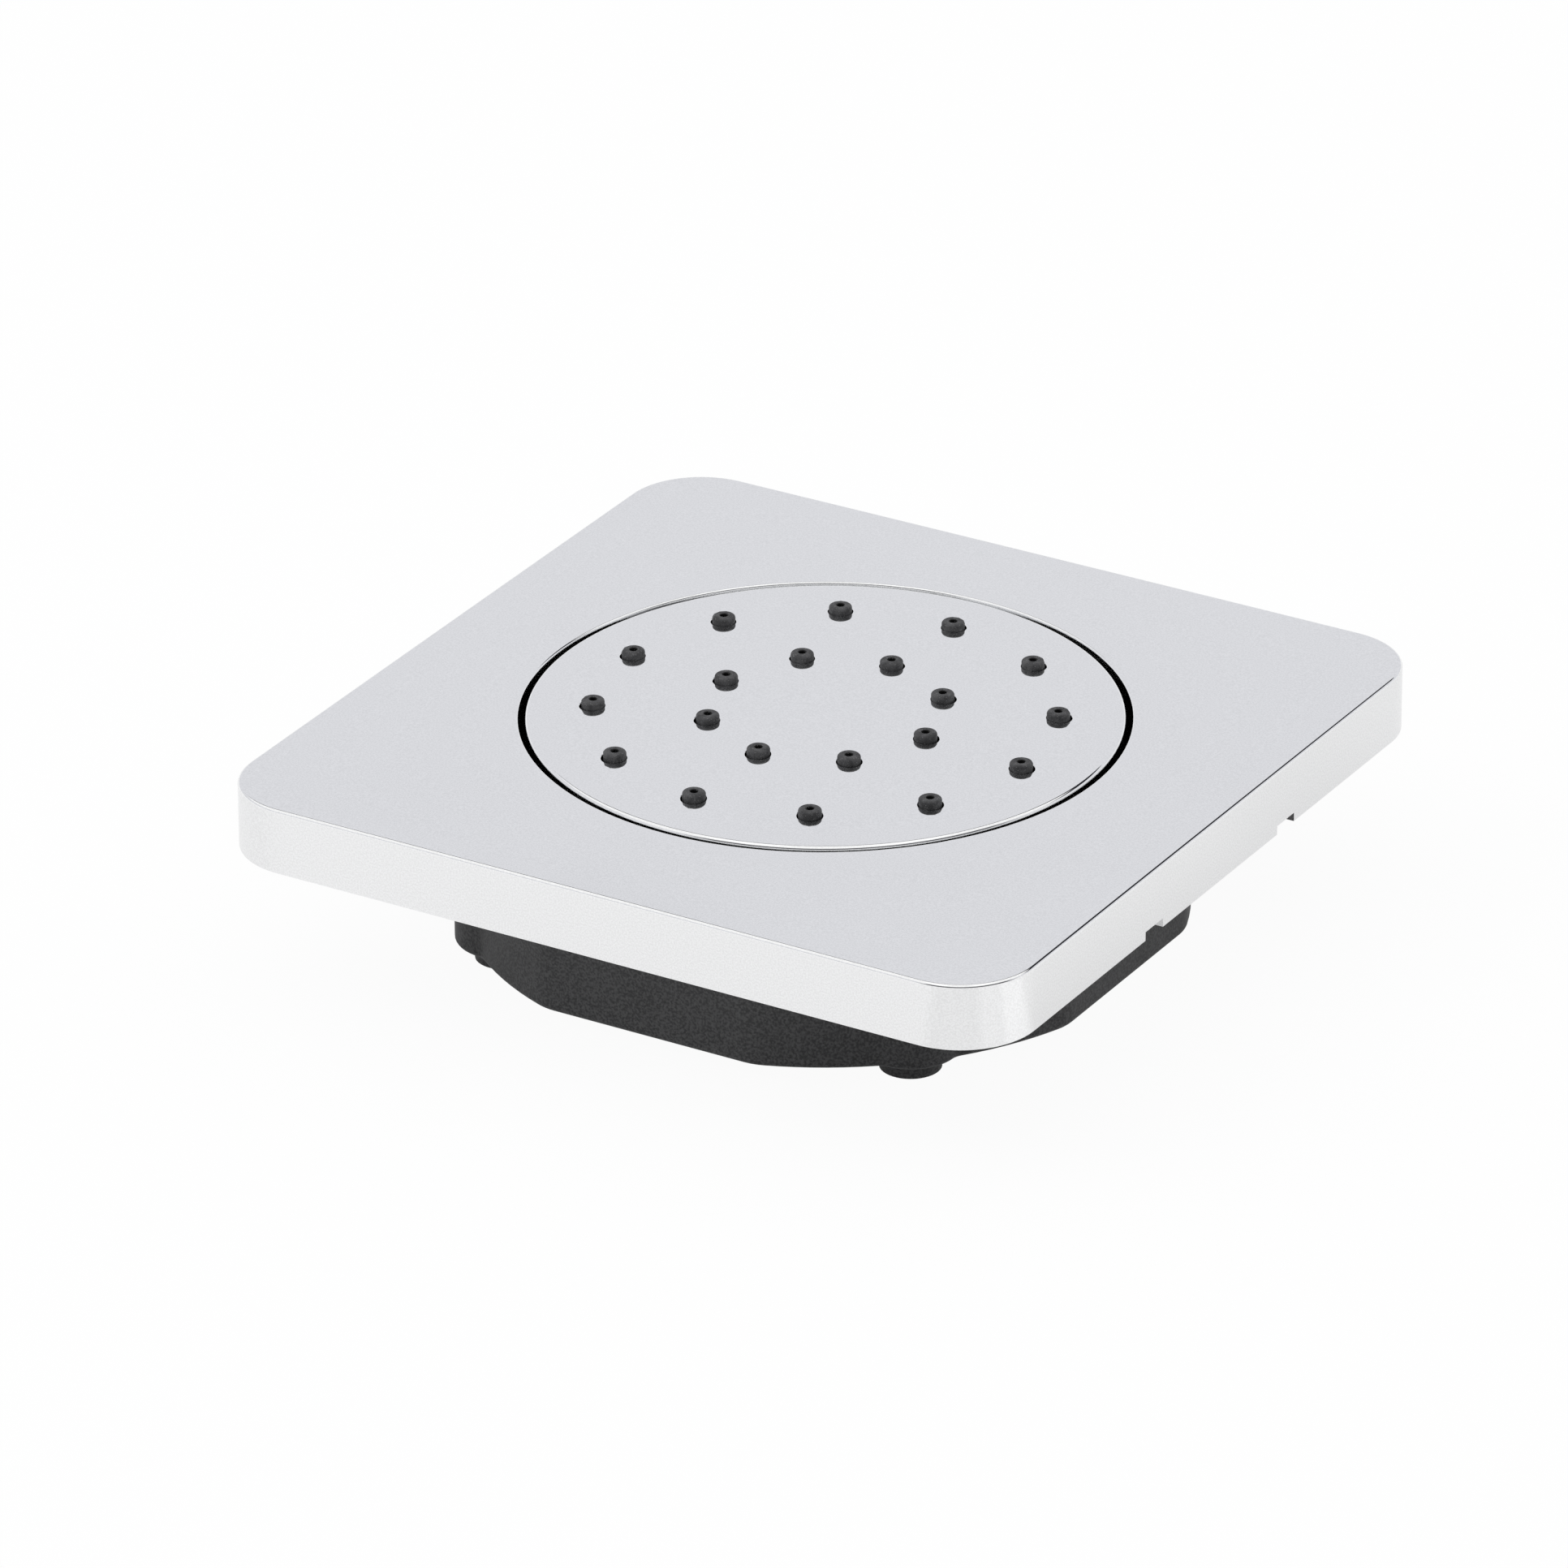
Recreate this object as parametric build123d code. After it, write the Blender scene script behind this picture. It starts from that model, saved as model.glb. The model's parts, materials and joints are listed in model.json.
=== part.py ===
from build123d import *
from math import cos, hypot, radians, sin, sqrt, tan
import os

# Shower body jet: a square cover plate with a swivelling spray disc, on a round housing with four feet.
# Millimetres. The origin is the middle of the wall plane, which the ends of the four feet touch.
# +Z is the spray axis, out of the wall. The side with the lever notches faces +X.

# Cover plate
PLATE_SIDE = 120.0
PLATE_CORNER_R = 11.0
PLATE_WALL = 2.0
PLATE_CROWN = 1.65
PLATE_EDGE_R = 0.45
SKIRT_DEPTH = 9.25
BACK_DEPTH = 20.35  # feet to the skirt's back edge, which lies on the tiles
CROWN_OVERRUN = 1.0  # the crowned surface runs this far past the plate's sides
OPENING_EDGE_R = 0.3
OPENING_DRAFT = 10.0  # the opening widens towards the front by this angle
NOTCH_WIDTH = 4.7
NOTCH_HEIGHT = 1.25
NOTCH_PITCH = 36.0
NOTCH_SHIFT = 0.9  # the pair sits this far off the middle of its side
POST_R = 3.5
POST_INSET = 12.0  # post centres from the plate's sides
RIB_LENGTH = 10.0
RIB_REACH = 0.9
RIB_PITCH = 64.0

# Housing
PAN_CLEARANCE = 2.25  # room round the swivelling disc, at the pan's flats
PAN_BULGE = 2.68  # how far the round walls stand outside the flats
PAN_WALL = 2.4
PAN_FLOOR = 2.2
PAN_EDGE_R = 0.8
FLAT_BLEND_R = 8.0
LOBE_R = 6.85
LOBE_BLEND_R = 2.3
FOOT_INSET = 4.87  # feet centres inside the pan's round wall
FOOT_R = 4.2
FOOT_HEIGHT = 2.5  # how far the feet stand below the pan's floor
SCREW_HOLE_R = 2.25
FLANGE_THICKNESS = 2.5
FLANGE_LIFT = 0.65  # flange above the skirt's back edge
FLANGE_GAP = 0.4

# Spray head
DISC_R = 40.3
DISC_GAP = 0.95
DISC_PROUD = 0.1  # the disc's rim above the plate's face
DISC_CROWN = 0.7
DISC_TURN = -3.3  # the disc stands turned by this angle in its opening
DISC_WALL = 1.2
DISC_SKIRT = 8.5
DISC_EDGE_R = 0.5
FACE_THICKNESS = 1.9
OUTER_NOZZLES = 12
OUTER_INSET = 9.05  # outer nozzle ring inside the disc's rim
INNER_NOZZLES = 8
INNER_INSET = 15.2  # inner nozzle ring inside the outer one
NOZZLE_R = 1.58
NOZZLE_HEIGHT = 1.0
NOZZLE_EDGE_R = 0.4
NOZZLE_GAP = 0.16
NOZZLE_SHIFT = 0.14  # the holes in the face sit this far outside the nozzles
NOZZLE_TIP_R = 0.5
NOZZLE_ENTRY_R = 1.0
NOZZLE_TIP_LENGTH = 1.2
MAT_THICKNESS = 1.5
MAT_MARGIN = 3.2  # mat edge outside the outer nozzle ring
MAT_LIP = 1.0
JET_THICKNESS = 1.2
JET_HOLE_R = 1.25
JET_GAP = 0.05
CHAMBER_DEPTH = 2.0
COVER_THICKNESS = 2.0
COVER_GAP = 0.5
COVER_LEDGE = 1.9  # width of the rim that carries the mat and the jet plate
HEAD_SCREWS = 6
BOSS_R = 1.9
BOSS_GAP = 0.15
BOSS_WEB = 1.6
SCREW_R = 1.0
SCREW_HEAD_R = 1.7
SCREW_HEAD_HEIGHT = 1.4
SCREW_LENGTH = 6.0
SCREW_CLEARANCE = 0.25
PILOT_SPARE = 0.4

# Ball joint
BALL_R = 6.5
BALL_FLAT = 5.0  # flat crown above the ball's centre, level with the chamber's floor
BALL_BORE_R = 2.75
LINER = 1.35  # room between the ball and its cup
FIT = 0.05
BALL_RELIEF = 0.25
RING_NEAR = 1.2  # seal and seat begin this far from the ball's equator
RING_FAR = 4.2  # and end this far from it
CUP_WALL = 1.9
CUP_DROP = 1.0  # cup below the ball's equator
COLLAR_WALL = 2.3
COLLAR_DROP = 5.05  # collar below the ball's equator
COLLAR_GAP = 0.5
COLLAR_GRIPS = 12
GRIP_R = 1.4
GRIP_DEPTH = 0.7

# Inlet
NECK_R = 3.8
SHOULDER_GAP = 1.95  # room between the collar and the inlet's shoulder
BARREL_GAP = 0.1
SHOULDER_R = 8.0
SHOULDER_SLOPE = 1.2
SOCKET_ROOF = 1.4
THREAD_R = 9.316  # wall of the half-inch pipe socket, at the thread's crests
RELIEF_DEPTH = 0.38
BARREL_WALL = 2.684
INLET_RECESS = 0.4  # inlet's face above the wall plane
INLET_CHAMFER = 0.7
FLANGE_REACH = 4.0  # inlet's hexagonal flange and the washers outside the barrel
FLANGE_BEVEL = 20.0  # bevel on the corners of that hexagon
GASKET_THICKNESS = 0.6
NUT_WALL = 3.0
NUT_HEIGHT = 4.0
LOCK_WASHER_THICKNESS = 0.8
WASHER_THICKNESS = 2.0
WASHER_BORE_R = 6.6
LIMITER_R = 6.9
LIMITER_HEIGHT = 2.2
LIMITER_POCKET_R = 5.0
LIMITER_POCKET = 1.3
LIMITER_HOLES = 6
LIMITER_HOLE_R = 0.6
LIMITER_HOLE_RING = 2.0
LIMITER_RING_R = 3.4
LIMITER_RING_SECTION = 0.6
STRAINER_WALL = 0.4
STRAINER_DEPTH = 1.6
STRAINER_HOLE_R = 0.55

# Heights that follow from the sizes above
HALF_SIDE = PLATE_SIDE / 2
CROWN_HALF = HALF_SIDE + CROWN_OVERRUN
EDGE_Z = BACK_DEPTH + SKIRT_DEPTH
OPENING_R = DISC_R + DISC_GAP
FLANGE_Z = BACK_DEPTH + FLANGE_LIFT
FLANGE_TOP = FLANGE_Z + FLANGE_THICKNESS
FLOOR_TOP = FOOT_HEIGHT + PAN_FLOOR


def crown_height(x, y):
    """Rise of the plate's crowned face above its edge."""
    return PLATE_CROWN * (1 - (x / CROWN_HALF) ** 2) * (1 - (y / CROWN_HALF) ** 2)


DIAGONAL = OPENING_R / sqrt(2)
OPENING_Z = EDGE_Z + (crown_height(OPENING_R, 0) + crown_height(DIAGONAL, DIAGONAL)) / 2
RIM_Z = OPENING_Z + DISC_PROUD
UNDERSIDE_Z = RIM_Z - FACE_THICKNESS
MAT_Z = UNDERSIDE_Z - MAT_THICKNESS
JET_Z = MAT_Z - JET_THICKNESS
CHAMBER_Z = JET_Z - CHAMBER_DEPTH
COVER_Z = CHAMBER_Z - COVER_THICKNESS
PIVOT_Z = CHAMBER_Z - BALL_FLAT
PIVOT_DEPTH = RIM_Z - PIVOT_Z
RIM_SPHERE_R = hypot(DISC_R, PIVOT_DEPTH)
PAN_FLAT = RIM_SPHERE_R + PAN_CLEARANCE + PAN_WALL
PAN_R = PAN_FLAT + PAN_BULGE
FOOT_PLACE = (PAN_R - FOOT_INSET) / sqrt(2)
OUTER_RING_R = DISC_R - OUTER_INSET
INNER_RING_R = OUTER_RING_R - INNER_INSET
MAT_R = OUTER_RING_R + MAT_MARGIN
SCREW_RING_R = MAT_R + BOSS_GAP + BOSS_R
SEAT_R = BALL_R + LINER
CUP_R = SEAT_R + CUP_WALL
COLLAR_R = CUP_R + COLLAR_WALL
COLLAR_Z = PIVOT_Z - COLLAR_DROP
BARREL_R = THREAD_R + BARREL_WALL
FLANGE_R = BARREL_R + FLANGE_REACH
SHOULDER_Z = COLLAR_Z - SHOULDER_GAP
LIMITER_TOP = SHOULDER_Z - SOCKET_ROOF
WASHER_TOP = LIMITER_TOP - LIMITER_HEIGHT
THREAD_TOP = WASHER_TOP - WASHER_THICKNESS
CORNERS = [(sx, sy) for sx in (-1, 1) for sy in (-1, 1)]
ON_BASE = (Align.CENTER, Align.CENTER, Align.MIN)
ON_START = (Align.MIN, Align.CENTER, Align.MIN)


def drum(radius, low, high, x=0.0, y=0.0):
    """Upright cylinder between two heights."""
    return Pos(x, y, low) * Cylinder(radius, high - low, align=ON_BASE)


def ring(outer, inner, low, high):
    """Plain ring about the spray axis."""
    return drum(outer, low, high) - drum(inner, low, high)


def rounded_square(side, corner, low, high):
    """Upright square prism with rounded corners, between two heights."""
    return Pos(0, 0, low) * extrude(RectangleRounded(side, side, corner), high - low)


def hexagon(across, low, high):
    """Upright hexagonal prism, across its flats, between two heights."""
    return Pos(0, 0, low) * extrude(RegularPolygon(across / 2, 6, major_radius=False), high - low)


def line(*points):
    """Straight profile edges through (radius, height) points."""
    return Polyline([(radius, 0, height) for radius, height in points])


def on_sphere(radius, rise):
    """Profile point of a sphere about the ball's centre, at a rise above that centre."""
    return sqrt(radius**2 - rise**2), PIVOT_Z + rise


def sphere_edge(radius, start, end):
    """Profile arc of a sphere about the ball's centre, between two rises."""
    points = [on_sphere(radius, rise) for rise in (start, (start + end) / 2, end)]
    return ThreePointArc(*[(r, 0, z) for r, z in points])


def turned(*edges):
    """Solid turned about the spray axis from a closed profile."""
    return revolve(make_face(list(edges)), Axis.Z)


def ring_of(count, radius, turn=0.0):
    """Places of a round pattern, as (x, y, angle)."""
    angles = [turn + 360 * i / count for i in range(count)]
    return [(radius * cos(radians(a)), radius * sin(radians(a)), a) for a in angles]


def nozzle_places(shift=0.0):
    """Centres of all nozzles with their ring's radius, moved outwards by a shift."""
    rings = ((OUTER_NOZZLES, OUTER_RING_R), (INNER_NOZZLES, INNER_RING_R))
    places = []
    for count, radius in rings:
        places += [(x, y, radius) for x, y, _ in ring_of(count, radius + shift, DISC_TURN)]
    return places


def dome_height(radius):
    """Height of the spray disc's domed face at a distance from its axis."""
    dome_r = (DISC_R**2 + DISC_CROWN**2) / (2 * DISC_CROWN)
    return RIM_Z + DISC_CROWN - dome_r + sqrt(dome_r**2 - radius**2)


def on_cylinder(edge, radius):
    """True where an edge runs round the spray axis at a radius."""
    return all(abs(hypot((edge @ t).X, (edge @ t).Y) - radius) < FIT for t in (0, 0.3, 0.7))


def crowned_block(drop, depth):
    """Block under the plate's crowned face, lowered by a drop."""
    level = EDGE_Z - drop
    places = (-CROWN_HALF, 0, CROWN_HALF)
    control = [[(x, y, level) for y in places] for x in places]
    control[1][1] = (0, 0, level + 4 * PLATE_CROWN)  # a surface of this degree rises to a quarter of it
    return Solid.extrude(Face.make_bezier_surface(control), (0, 0, -depth))


def make_cover_plate():
    """Crowned square cover with its skirt, corner posts, snap ribs, opening and lever notches."""
    top = EDGE_Z + PLATE_CROWN
    inner_side = PLATE_SIDE - 2 * PLATE_WALL
    outside = rounded_square(PLATE_SIDE, PLATE_CORNER_R, BACK_DEPTH, top) & crowned_block(0, 2 * SKIRT_DEPTH)
    inside = rounded_square(inner_side, PLATE_CORNER_R - PLATE_WALL, BACK_DEPTH, top)
    inside &= crowned_block(PLATE_WALL, 2 * SKIRT_DEPTH)
    upper_edges = [e for e in outside.edges() if e.center().Z > EDGE_Z - PLATE_EDGE_R]
    plate = fillet(upper_edges, PLATE_EDGE_R) - inside
    post_place = HALF_SIDE - POST_INSET
    post_top = EDGE_Z + crown_height(post_place, post_place) - PLATE_WALL / 2
    for sx, sy in CORNERS:
        plate += drum(POST_R, FLANGE_TOP, post_top, sx * post_place, sy * post_place)
    rib = Box(RIB_REACH + PLATE_WALL / 2, RIB_LENGTH, FLANGE_LIFT - FIT, align=ON_START)
    for side in range(4):
        for along in (-RIB_PITCH / 2, RIB_PITCH / 2):
            plate += Rot(0, 0, 90 * side) * Pos(inner_side / 2 - RIB_REACH, along, BACK_DEPTH) * rib
    spread = tan(radians(OPENING_DRAFT))
    low_r = OPENING_R - (OPENING_Z - BACK_DEPTH) * spread
    high_r = OPENING_R + (top + PLATE_CROWN - OPENING_Z) * spread
    plate -= turned(
        line((0, BACK_DEPTH), (low_r, BACK_DEPTH), (high_r, top + PLATE_CROWN), (0, top + PLATE_CROWN), (0, BACK_DEPTH))
    )
    rim = [e for e in plate.edges() if on_cylinder(e, OPENING_R) and e.center().Z > OPENING_Z - PLATE_WALL / 2]
    plate = fillet(rim, OPENING_EDGE_R)
    notch = Box(4 * PLATE_WALL, NOTCH_WIDTH, 2 * NOTCH_HEIGHT)
    for along in (NOTCH_SHIFT - NOTCH_PITCH / 2, NOTCH_SHIFT + NOTCH_PITCH / 2):
        plate -= Pos(HALF_SIDE, along, BACK_DEPTH) * notch
    return plate


def pan_outline(inset):
    """Round outline with four flats and four blended corner lobes, set in by a wall."""
    lobe_r = LOBE_R - inset
    round_r = PAN_R - inset
    flat = PAN_FLAT - inset
    outline = Circle(round_r) & Rectangle(2 * flat, 2 * flat)
    outline = fillet(outline.vertices(), FLAT_BLEND_R - inset)
    for sx, sy in CORNERS:
        outline += Pos(sx * FOOT_PLACE, sy * FOOT_PLACE) * Circle(lobe_r)

    def where_lobe_meets_wall(v):
        from_lobe = hypot(abs(v.X) - FOOT_PLACE, abs(v.Y) - FOOT_PLACE)
        return abs(from_lobe - lobe_r) < FIT and abs(hypot(v.X, v.Y) - round_r) < FIT

    return fillet(outline.vertices().filter_by(where_lobe_meets_wall), LOBE_BLEND_R + inset)


def make_housing():
    """Moulded pan with four lobes, open at the front, and the hollow screw feet."""
    pan = Pos(0, 0, FOOT_HEIGHT) * extrude(pan_outline(0), FLANGE_Z - FOOT_HEIGHT)
    low_edges = [e for e in pan.edges() if e.center().Z < FOOT_HEIGHT + FIT]
    pan = fillet(low_edges, PAN_EDGE_R)
    pan -= Pos(0, 0, FLOOR_TOP) * extrude(pan_outline(PAN_WALL), FLANGE_Z - FLOOR_TOP)
    for sx, sy in CORNERS:
        x, y = sx * FOOT_PLACE, sy * FOOT_PLACE
        pan += drum(FOOT_R, 0, FLOOR_TOP, x, y)
        pan -= drum(SCREW_HOLE_R, 0, FLOOR_TOP, x, y)
    return pan - drum(BARREL_R + BARREL_GAP, FOOT_HEIGHT, FLOOR_TOP)


def make_housing_flange():
    """Square flange welded to the pan's rim, which carries the cover's posts and snap ribs."""
    edge_gap = PLATE_WALL + FLANGE_GAP
    flange = rounded_square(PLATE_SIDE - 2 * edge_gap, PLATE_CORNER_R - edge_gap, FLANGE_Z, FLANGE_TOP)
    return flange - Pos(0, 0, FLANGE_Z) * extrude(pan_outline(PAN_WALL), FLANGE_THICKNESS)


def make_spray_face():
    """Domed disc with a straight rim, screw bosses and nozzle holes."""
    inner_r = DISC_R - DISC_WALL
    low = RIM_Z - DISC_SKIRT
    dome = ThreePointArc(
        (0, 0, dome_height(0)), (DISC_R / 2, 0, dome_height(DISC_R / 2)), (DISC_R, 0, dome_height(DISC_R))
    )
    shell = turned(
        dome,
        line(
            (DISC_R, RIM_Z),
            (DISC_R, low),
            (inner_r, low),
            (inner_r, UNDERSIDE_Z),
            (0, UNDERSIDE_Z),
            (0, dome_height(0)),
        ),
    )
    rim = [e for e in shell.edges() if abs(e.center().Z - RIM_Z) < FIT and on_cylinder(e, DISC_R)]
    shell = fillet(rim, DISC_EDGE_R)
    web_length = inner_r + DISC_WALL / 2 - SCREW_RING_R
    web = Box(web_length, BOSS_WEB, UNDERSIDE_Z - CHAMBER_Z, align=ON_START)
    for x, y, angle in ring_of(HEAD_SCREWS, SCREW_RING_R, DISC_TURN):
        shell += drum(BOSS_R, CHAMBER_Z, UNDERSIDE_Z, x, y)
        shell += Rot(0, 0, angle) * Pos(SCREW_RING_R, 0, CHAMBER_Z) * web
        shell -= drum(SCREW_R, CHAMBER_Z, COVER_Z + SCREW_LENGTH + PILOT_SPARE, x, y)
    for x, y, _ in nozzle_places(NOZZLE_SHIFT):
        shell -= drum(NOZZLE_R + NOZZLE_GAP, UNDERSIDE_Z, RIM_Z + 2 * DISC_CROWN, x, y)
    return shell


def make_nozzle_mat():
    """Soft mat with a sealing lip and a round-edged nozzle through each hole of the face."""
    mat = drum(MAT_R, MAT_Z, UNDERSIDE_Z)
    mat += ring(MAT_R, MAT_R - MAT_LIP, JET_Z, MAT_Z)
    for x, y, radius in nozzle_places():
        tip = dome_height(radius) + NOZZLE_HEIGHT
        stub = drum(NOZZLE_R, UNDERSIDE_Z, tip)
        stub = fillet([e for e in stub.edges() if e.center().Z > tip - FIT], NOZZLE_EDGE_R)
        bore = turned(
            line(
                (0, MAT_Z),
                (NOZZLE_ENTRY_R, MAT_Z),
                (NOZZLE_TIP_R, tip - NOZZLE_TIP_LENGTH),
                (NOZZLE_TIP_R, tip),
                (0, tip),
                (0, MAT_Z),
            )
        )
        mat = mat + Pos(x, y, 0) * stub - Pos(x, y, 0) * bore
    return mat


def make_jet_plate():
    """Stiff plate that backs the mat, with a hole behind each nozzle."""
    plate = drum(MAT_R - MAT_LIP - JET_GAP, JET_Z, MAT_Z)
    for x, y, _ in nozzle_places():
        plate -= drum(JET_HOLE_R, JET_Z, MAT_Z, x, y)
    return plate


def make_chamber_cover():
    """Back of the spray head: flange, ledge for the mat, and the ball's cup."""
    cover_r = DISC_R - DISC_WALL - COVER_GAP
    relief_r = BALL_R + BALL_RELIEF
    shoulder = RING_FAR + FIT
    ledge_r = MAT_R - COVER_LEDGE
    cover = turned(
        sphere_edge(relief_r, CHAMBER_Z - PIVOT_Z, shoulder),
        line(on_sphere(relief_r, shoulder), on_sphere(SEAT_R, shoulder)),
        sphere_edge(SEAT_R, shoulder, -CUP_DROP),
        line(
            on_sphere(SEAT_R, -CUP_DROP),
            (CUP_R, PIVOT_Z - CUP_DROP),
            (CUP_R, COVER_Z),
            (cover_r, COVER_Z),
            (cover_r, CHAMBER_Z),
            (MAT_R, CHAMBER_Z),
            (MAT_R, JET_Z),
            (ledge_r, JET_Z),
            (ledge_r, CHAMBER_Z),
            on_sphere(relief_r, CHAMBER_Z - PIVOT_Z),
        ),
    )
    for x, y, _ in ring_of(HEAD_SCREWS, SCREW_RING_R, DISC_TURN):
        cover -= drum(SCREW_R + SCREW_CLEARANCE, COVER_Z, CHAMBER_Z, x, y)
    return cover


def make_cover_screws():
    """Screws from the back of the spray head into the bosses of its face."""
    screws = Part()
    for x, y, _ in ring_of(HEAD_SCREWS, SCREW_RING_R, DISC_TURN):
        screw = drum(SCREW_R, COVER_Z, COVER_Z + SCREW_LENGTH, x, y)
        screws += screw + drum(SCREW_HEAD_R, COVER_Z - SCREW_HEAD_HEIGHT, COVER_Z, x, y)
    return screws


def make_ball_collar():
    """Collar screwed over the cup, with a round seat behind the ball."""
    top = COVER_Z - COLLAR_GAP
    collar = turned(
        sphere_edge(SEAT_R, -CUP_DROP, -COLLAR_DROP),
        line(
            on_sphere(SEAT_R, -COLLAR_DROP),
            (COLLAR_R, COLLAR_Z),
            (COLLAR_R, top),
            (CUP_R, top),
            (CUP_R, PIVOT_Z - CUP_DROP),
            on_sphere(SEAT_R, -CUP_DROP),
        ),
    )
    for x, y, _ in ring_of(COLLAR_GRIPS, COLLAR_R + GRIP_R - GRIP_DEPTH):
        collar -= drum(GRIP_R, COLLAR_Z, top, x, y)
    return collar


def make_ball_ring(start, end):
    """Ring between the ball and its cup, with a round face on each side."""
    inner_r = BALL_R + FIT
    outer_r = SEAT_R - FIT
    return turned(
        sphere_edge(inner_r, start, end),
        line(on_sphere(inner_r, end), on_sphere(outer_r, end)),
        sphere_edge(outer_r, end, start),
        line(on_sphere(outer_r, start), on_sphere(inner_r, start)),
    )


def make_ball_inlet():
    """Turned inlet: pipe socket, hexagonal flange, neck and hollow ball."""
    neck_rise = -sqrt(BALL_R**2 - NECK_R**2)
    crown_rise = CHAMBER_Z - PIVOT_Z
    body = turned(
        line(
            (THREAD_R, INLET_RECESS + INLET_CHAMFER),
            (THREAD_R + INLET_CHAMFER, INLET_RECESS),
            (BARREL_R, INLET_RECESS),
            (BARREL_R, SHOULDER_Z - SHOULDER_SLOPE),
            (SHOULDER_R, SHOULDER_Z),
            (NECK_R, SHOULDER_Z),
            on_sphere(BALL_R, neck_rise),
        ),
        sphere_edge(BALL_R, neck_rise, crown_rise),
        line(
            on_sphere(BALL_R, crown_rise),
            (BALL_BORE_R, CHAMBER_Z),
            (BALL_BORE_R, LIMITER_TOP),
            (LIMITER_R + FIT, LIMITER_TOP),
            (LIMITER_R + FIT, WASHER_TOP),
            (THREAD_R + RELIEF_DEPTH, WASHER_TOP),
            (THREAD_R + RELIEF_DEPTH, THREAD_TOP),
            (THREAD_R, THREAD_TOP),
            (THREAD_R, INLET_RECESS + INLET_CHAMFER),
        ),
    )
    flange_top = FOOT_HEIGHT - GASKET_THICKNESS
    corner_r = FLANGE_R / cos(radians(30))
    bevelled = turned(
        line(
            (BARREL_R, INLET_RECESS),
            (FLANGE_R, INLET_RECESS),
            (corner_r, INLET_RECESS + (corner_r - FLANGE_R) * tan(radians(FLANGE_BEVEL))),
            (corner_r, flange_top),
            (BARREL_R, flange_top),
            (BARREL_R, INLET_RECESS),
        )
    )
    return body + (hexagon(2 * FLANGE_R, INLET_RECESS, flange_top) & bevelled)


def make_inlet_nut():
    """Hexagonal nut on the inlet's barrel, inside the housing."""
    low = FLOOR_TOP + LOCK_WASHER_THICKNESS
    high = low + NUT_HEIGHT
    return hexagon(2 * (BARREL_R + NUT_WALL), low, high) - drum(BARREL_R, low, high)


def make_inlet_strainer():
    """Pressed strainer cup that stands in the washer's bore, with its holes in rings."""
    outer_r = WASHER_BORE_R - FIT
    inner_r = outer_r - STRAINER_WALL
    low = WASHER_TOP - STRAINER_DEPTH
    cup = drum(outer_r, low, WASHER_TOP) - drum(inner_r, low + STRAINER_WALL, WASHER_TOP)
    for count, radius in ((1, 0.0), (6, inner_r / 3), (12, 2 * inner_r / 3)):
        for x, y, _ in ring_of(count, radius):
            cup -= drum(STRAINER_HOLE_R, low, low + STRAINER_WALL, x, y)
    return cup


def make_flow_limiter():
    """Limiter body with a pocket for its ring and a ring of small outlets."""
    body = drum(LIMITER_R, WASHER_TOP, LIMITER_TOP)
    body -= drum(LIMITER_POCKET_R, WASHER_TOP, WASHER_TOP + LIMITER_POCKET)
    for x, y, _ in ring_of(LIMITER_HOLES, LIMITER_HOLE_RING):
        body -= drum(LIMITER_HOLE_R, WASHER_TOP, LIMITER_TOP, x, y)
    return body


def make_limiter_ring():
    """Rubber ring in the limiter's pocket."""
    height = WASHER_TOP + LIMITER_POCKET - LIMITER_RING_SECTION
    return Pos(0, 0, height) * Torus(LIMITER_RING_R, LIMITER_RING_SECTION)


NODES = {
    "cover_plate": make_cover_plate(),
    "housing": make_housing(),
    "housing_flange": make_housing_flange(),
    "spray_face": make_spray_face(),
    "nozzle_mat": make_nozzle_mat(),
    "jet_plate": make_jet_plate(),
    "chamber_cover": make_chamber_cover(),
    "cover_screws": make_cover_screws(),
    "ball_collar": make_ball_collar(),
    "ball_seal": make_ball_ring(RING_NEAR, RING_FAR),
    "ball_seat": make_ball_ring(-RING_FAR, -RING_NEAR),
    "ball_inlet": make_ball_inlet(),
    "inlet_gasket": ring(FLANGE_R, BARREL_R + FIT, FOOT_HEIGHT - GASKET_THICKNESS, FOOT_HEIGHT),
    "lock_washer": ring(FLANGE_R, BARREL_R + FIT, FLOOR_TOP, FLOOR_TOP + LOCK_WASHER_THICKNESS),
    "inlet_nut": make_inlet_nut(),
    "inlet_washer": ring(THREAD_R + RELIEF_DEPTH - FIT, WASHER_BORE_R, THREAD_TOP, WASHER_TOP),
    "inlet_strainer": make_inlet_strainer(),
    "flow_limiter": make_flow_limiter(),
    "limiter_ring": make_limiter_ring(),
}

os.makedirs("parts", exist_ok=True)
for name, piece in NODES.items():
    export_step(piece, f"parts/{name}.step")
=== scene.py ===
# %% [markdown]
# # A shower body jet
# A square chrome plate carries a round spray disc that tilts on a ball. Behind it a black
# moulded housing stands on four screw feet, with a brass pipe socket in its middle.
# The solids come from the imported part. This lesson adds the surfaces that have to be
# perfectly smooth to shine, the finishes, the studio and the camera.

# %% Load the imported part
import json

import bmesh
import bpy
import numpy as np
from mathutils import Matrix


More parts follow.
